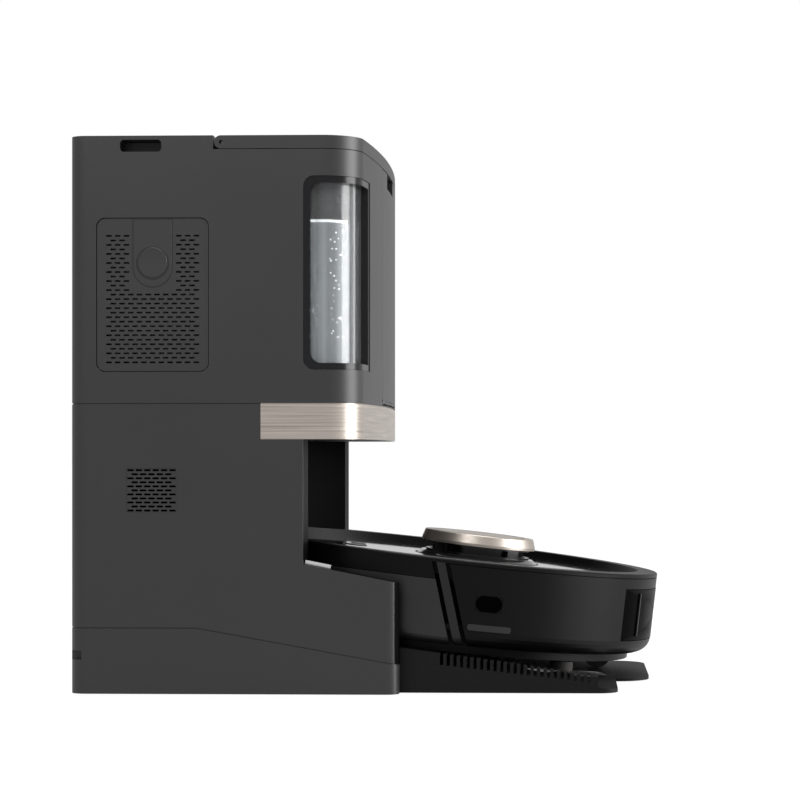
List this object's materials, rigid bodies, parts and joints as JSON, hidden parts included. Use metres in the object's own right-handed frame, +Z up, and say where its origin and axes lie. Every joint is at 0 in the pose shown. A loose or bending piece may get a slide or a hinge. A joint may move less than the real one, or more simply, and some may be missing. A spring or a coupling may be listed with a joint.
{
  "type": "robot vacuum",
  "caption": "Round robot vacuum with bumper, lidar turret, wheels, brushes and mop pads, parked on a tall self-emptying wash station with tanks, lid and ramp.",
  "frame": {"origin": "on the floor, at the middle of the station base footprint", "axes": "+X to the front, the way the robot drives out, +Y to the left, +Z up"},
  "size_m": [0.4443, 0.382, 0.4151],
  "materials": {
    "housing_plastic": "satin charcoal",
    "ramp_plastic": "matt black",
    "wash_board_plastic": "matt dark grey",
    "bay_plastic": "matt black",
    "grille_plastic": "matt black",
    "window_frame_plastic": "satin black",
    "foot_rubber": "matt",
    "brushed_band": "brushed champagne",
    "turret_metal": "satin champagne",
    "contact_metal": "polished",
    "pin_steel": "ground",
    "window_clear": "clear",
    "tank_clear": "clear",
    "water": "clear",
    "tank_smoke": "smoked",
    "bag_paper": "non-woven",
    "motor_plastic": "matt",
    "board_green": "solder mask",
    "filter_paper": "pleated",
    "robot_plastic": "satin black",
    "strip_plastic": "satin dark grey",
    "robot_gloss": "gloss black",
    "scanner_black": "gloss black",
    "sensor_window": "gloss black",
    "button_plastic": "satin",
    "battery_wrap": "shrink wrap",
    "dust_bin_smoke": "smoked",
    "tyre_rubber": "matt",
    "brush_bristle": "soft",
    "mop_cloth": "looped pile"
  },
  "bodies": {
    "station": {"base_tray": "housing_plastic", "ramp": "ramp_plastic", "ramp_shoulder_left": "ramp_plastic", "ramp_shoulder_right": "ramp_plastic", "wash_board": "wash_board_plastic", "rubber_feet": "foot_rubber", "lower_housing": "housing_plastic", "bay_ceiling": "bay_plastic", "trim_band": "brushed_band", "lower_grille": "grille_plastic", "power_inlet": "grille_plastic", "dock_contacts": "contact_metal", "sill_sensors": "contact_metal", "water_pump": "motor_plastic", "circuit_board": "board_green", "upper_housing": "housing_plastic", "window_frame": "window_frame_plastic", "window_lens": "window_clear", "clean_tank": "tank_clear", "clean_tank_cap": "bay_plastic", "clean_water": "water", "dirty_tank": "tank_smoke", "dirty_tank_cap": "bay_plastic", "dust_bag": "bag_paper", "suction_motor": "motor_plastic", "exhaust_filter": "filter_paper", "lid_pin": "pin_steel", "door_pin": "pin_steel", "cover_pin": "pin_steel"},
    "lid": {"lid": "housing_plastic"},
    "dust_door": {"dust_door": "housing_plastic"},
    "side_cover": {"side_cover": "housing_plastic"},
    "cover_latch": {"cover_latch": "housing_plastic"},
    "robot": {"robot_base": "robot_plastic", "rear_skirt": "robot_plastic", "side_strips": "strip_plastic", "robot_cover": "robot_plastic", "top_plate": "robot_gloss", "turret_base": "robot_gloss", "lidar_cage": "scanner_black", "turret_cap": "turret_metal", "battery": "battery_wrap", "dust_bin": "dust_bin_smoke", "brush_guard": "strip_plastic", "robot_contacts": "contact_metal"},
    "lidar_rotor": {"lidar_rotor": "scanner_black"},
    "bumper": {"bumper": "robot_plastic", "bumper_windows": "sensor_window"},
    "power_button": {"power_button": "button_plastic"},
    "home_button": {"home_button": "button_plastic"},
    "arm_left": {"wheel_arm_left": "strip_plastic"},
    "arm_right": {"wheel_arm_right": "strip_plastic"},
    "wheel_left": {"drive_wheel_left": "tyre_rubber"},
    "wheel_right": {"drive_wheel_right": "tyre_rubber"},
    "caster_fork": {"caster_fork": "strip_plastic"},
    "caster_wheel": {"caster_wheel": "tyre_rubber"},
    "main_brush": {"main_brush": "brush_bristle"},
    "side_brush": {"side_brush": "brush_bristle"},
    "mop_left": {"mop_left": "mop_cloth"},
    "mop_right": {"mop_right": "mop_cloth"}
  },
  "joints": [
    {"name": "lid_hinge", "type": "hinge", "parent": "station", "child": "lid", "pos_m": [-0.0094, 0, 0.4102], "axis": [0, -1, 0], "range_deg": [0, 85]},
    {"name": "dust_door_hinge", "type": "hinge", "parent": "station", "child": "dust_door", "pos_m": [0.0989, 0, 0.2205], "axis": [0, 1, 0], "range_deg": [0, 60]},
    {"name": "side_cover_hinge", "type": "hinge", "parent": "station", "child": "side_cover", "pos_m": [-0.06035, -0.1895, 0.2415], "axis": [1, 0, 0], "range_deg": [0, 30]},
    {"name": "cover_latch_flex", "type": "hinge", "parent": "side_cover", "child": "cover_latch", "pos_m": [-0.06035, -0.1895, 0.3041], "axis": [-1, 0, 0], "range_deg": [0, 4], "stiffness_Nm_per_rad": 0.2, "springref_deg": -5.73},
    {"name": "robot_drive_out", "type": "slide", "parent": "station", "child": "robot", "axis": [1, 0, 0], "range_m": [0, 0.36]},
    {"name": "bumper_press", "type": "slide", "parent": "robot", "child": "bumper", "axis": [-0.9936, 0, 0.1132], "range_m": [0, 0.003], "stiffness_N_per_m": 300, "springref_m": -0.002},
    {"name": "lidar_spin", "type": "hinge", "parent": "robot", "child": "lidar_rotor", "pos_m": [0.17406, 0, 0.09334], "axis": [0.1132, 0, 0.9936], "continuous": true},
    {"name": "power_button_press", "type": "slide", "parent": "robot", "child": "power_button", "axis": [-0.1132, 0, -0.9936], "range_m": [0, 0.0008], "stiffness_N_per_m": 500, "springref_m": -0.0004},
    {"name": "home_button_press", "type": "slide", "parent": "robot", "child": "home_button", "axis": [-0.1132, 0, -0.9936], "range_m": [0, 0.0008], "stiffness_N_per_m": 500, "springref_m": -0.0004},
    {"name": "suspension_left", "type": "hinge", "parent": "robot", "child": "arm_left", "pos_m": [0.10028, 0.1045, 0.05525], "axis": [0, -1, 0], "range_deg": [0, 8], "stiffness_Nm_per_rad": 0.5, "springref_deg": -9.74},
    {"name": "wheel_spin_left", "type": "hinge", "parent": "arm_left", "child": "wheel_left", "pos_m": [0.142, 0.117, 0.05049], "axis": [0, 1, 0], "continuous": true},
    {"name": "suspension_right", "type": "hinge", "parent": "robot", "child": "arm_right", "pos_m": [0.10028, -0.1045, 0.05525], "axis": [0, -1, 0], "range_deg": [0, 8], "stiffness_Nm_per_rad": 0.5, "springref_deg": -9.74},
    {"name": "wheel_spin_right", "type": "hinge", "parent": "arm_right", "child": "wheel_right", "pos_m": [0.142, -0.117, 0.05049], "axis": [0, 1, 0], "continuous": true},
    {"name": "caster_swivel", "type": "hinge", "parent": "robot", "child": "caster_fork", "pos_m": [0.27487, 0, 0.01523], "axis": [0.1132, 0, 0.9936], "continuous": true},
    {"name": "caster_roll", "type": "hinge", "parent": "caster_fork", "child": "caster_wheel", "pos_m": [0.27238, 0, 0.01551], "axis": [0, 1, 0], "continuous": true},
    {"name": "main_brush_spin", "type": "hinge", "parent": "robot", "child": "main_brush", "pos_m": [0.18834, 0, 0.03314], "axis": [0, 1, 0], "continuous": true},
    {"name": "side_brush_spin", "type": "hinge", "parent": "robot", "child": "side_brush", "pos_m": [0.24356, -0.10465, 0.01738], "axis": [0.1132, 0, 0.9936], "continuous": true},
    {"name": "mop_spin_left", "type": "hinge", "parent": "robot", "child": "mop_left", "pos_m": [0.04485, 0.06154, 0.03499], "axis": [0.1132, 0, 0.9936], "continuous": true},
    {"name": "mop_spin_right", "type": "hinge", "parent": "robot", "child": "mop_right", "pos_m": [0.04485, -0.06154, 0.03499], "axis": [0.1132, 0, 0.9936], "continuous": true}
  ]
}
